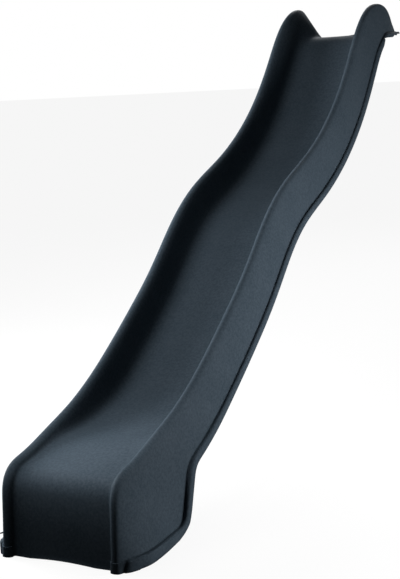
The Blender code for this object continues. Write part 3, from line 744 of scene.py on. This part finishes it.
# Brass: warm, with darker tarnish in patches
brass, tree, shader, place = material_of("turned_brass")
tarnish = spread(tree, noise(tree, place, scale=160.0, detail=4.0), 0.0, 1.0)
tree.links.new(blended(tree, tarnish, BRASS_TARNISHED, BRASS_BRIGHT), shader.inputs["Base Color"])
turning = noise(tree, place, scale=900.0, detail=2.0)
tree.links.new(spread(tree, turning, 0.24, 0.42), shader.inputs["Roughness"])
shader.inputs["Metallic"].default_value = 1.0
add_grain(tree, shader, place, depth=0.04)
set_out(insert, brass, [
    (f"threaded_insert_{name}_{number}", side * math.pi / 2, 0.0)
    for side, name, number in FOOT_PLACES
])


# The studio
# White paper under and behind the slide, and five soft boxes: one over its left side, a low one on the right
# for the skirt, one on the left, one behind, and a small one with a narrow beam on the nose.
FLOOR_SIZE = 60.0
PAPER_WHITE = 1.0
ROOM_GLOW = 0.01
FLOOR_SHADOW_SHARE = 0.08
FLOOR_BOUNCE = (0.03, 0.03, 0.03)
FLOOR_SEEN = (0.95, 0.95, 0.95)


def background_rays(tree):
    """1 for the rays that show a background to the camera, in gloss or through clear things, or else 0."""
    path = tree.nodes.new("ShaderNodeLightPath")
    gloss = tree.nodes.new("ShaderNodeMath")
    gloss.operation = "MAXIMUM"
    seen = tree.nodes.new("ShaderNodeMath")
    seen.operation = "MAXIMUM"
    tree.links.new(path.outputs["Is Camera Ray"], gloss.inputs[0])
    tree.links.new(path.outputs["Is Glossy Ray"], gloss.inputs[1])
    tree.links.new(gloss.outputs[0], seen.inputs[0])
    tree.links.new(path.outputs["Is Transmission Ray"], seen.inputs[1])
    return seen.outputs[0]


bpy.ops.mesh.primitive_plane_add(size=FLOOR_SIZE, location=(0.0, 0.0, 0.0))
floor = bpy.context.object
floor.name = "studio_floor"
paper, tree, shader, place = material_of("white_paper_floor")
tree.links.new(blended(tree, background_rays(tree), FLOOR_BOUNCE, FLOOR_SEEN), shader.inputs["Base Color"])
shader.inputs["Roughness"].default_value = 0.9
shader.inputs["Specular IOR Level"].default_value = 0.0
glow = tree.nodes.new("ShaderNodeEmission")
glow.inputs["Color"].default_value = (1.0, 1.0, 1.0, 1.0)
glow.inputs["Strength"].default_value = PAPER_WHITE
share = tree.nodes.new("ShaderNodeMath")
share.operation = "MULTIPLY"
share.inputs[1].default_value = 1 - FLOOR_SHADOW_SHARE
both = tree.nodes.new("ShaderNodeMixShader")
tree.links.new(background_rays(tree), share.inputs[0])
tree.links.new(share.outputs[0], both.inputs[0])
tree.links.new(shader.outputs[0], both.inputs[1])
tree.links.new(glow.outputs[0], both.inputs[2])
tree.links.new(both.outputs[0], tree.nodes["Material Output"].inputs["Surface"])
floor.data.materials.append(paper)
bpy.ops.object.select_all(action="DESELECT")

world = bpy.data.worlds.new("white_studio")
bpy.context.scene.world = world
world.use_nodes = True
sky = world.node_tree
room = sky.nodes["Background"]
room.inputs["Color"].default_value = (1.0, 1.0, 1.0, 1.0)
room.inputs["Strength"].default_value = ROOM_GLOW
white = sky.nodes.new("ShaderNodeBackground")
white.inputs["Color"].default_value = (1.0, 1.0, 1.0, 1.0)
white.inputs["Strength"].default_value = PAPER_WHITE
either = sky.nodes.new("ShaderNodeMixShader")
sky.links.new(background_rays(sky), either.inputs[0])
sky.links.new(room.outputs[0], either.inputs[1])
sky.links.new(white.outputs[0], either.inputs[2])
sky.links.new(either.outputs[0], sky.nodes["World Output"].inputs["Surface"])


def soft_box(name, place, aim, width, height, power, beam=180.0):
    """A rectangular lamp at a place, turned towards a point; a grid can narrow its beam."""
    bpy.ops.object.light_add(type="AREA", location=place)
    lamp = bpy.context.object
    lamp.name = name
    lamp.data.shape = "RECTANGLE"
    lamp.data.size = width
    lamp.data.size_y = height
    lamp.data.energy = power
    lamp.data.spread = math.radians(beam)
    away = lamp.location - mathutils.Vector(aim)
    lamp.rotation_euler = away.to_track_quat("Z", "Y").to_euler()


soft_box("overhead_left_box", place=(-0.7, -1.2, 1.9), aim=(0, 0, 0.7), width=1.2, height=1.2, power=32)
soft_box("right_box", place=(2.1, 0.0, 0.5), aim=(0, 0, 0.7), width=1.2, height=0.6, power=60)
soft_box("left_box", place=(-2.5, -0.6, 1.5), aim=(0, 0, 0.8), width=1.0, height=1.0, power=140)
soft_box("rear_box", place=(-0.8, 4.0, 3.4), aim=(0, 0, 1.0), width=1.2, height=1.2, power=70)
soft_box("nose_box", place=(-0.2, -3, 1.5), aim=(0, -1.25, 0.39), width=0.4, height=0.2, power=0.32, beam=12)


# The camera
# It stands at the photo's angle, 5 m from the slide's middle, to the right of the foot and about as high as
# the platform. It has a long lens and is rolled a little.
CAMERA_PLACE = (2.2233, -4.3592, 1.5575)
CAMERA_TILT = math.radians(78.9381)
CAMERA_ROLL = math.radians(4.0131)
CAMERA_HEADING = math.radians(27.9632)
CAMERA_LENS = 79.97
bpy.ops.object.camera_add(location=CAMERA_PLACE, rotation=(CAMERA_TILT, CAMERA_ROLL, CAMERA_HEADING))
camera = bpy.context.object
camera.data.lens = CAMERA_LENS
bpy.context.scene.camera = camera
bpy.context.scene.view_settings.view_transform = "Standard"
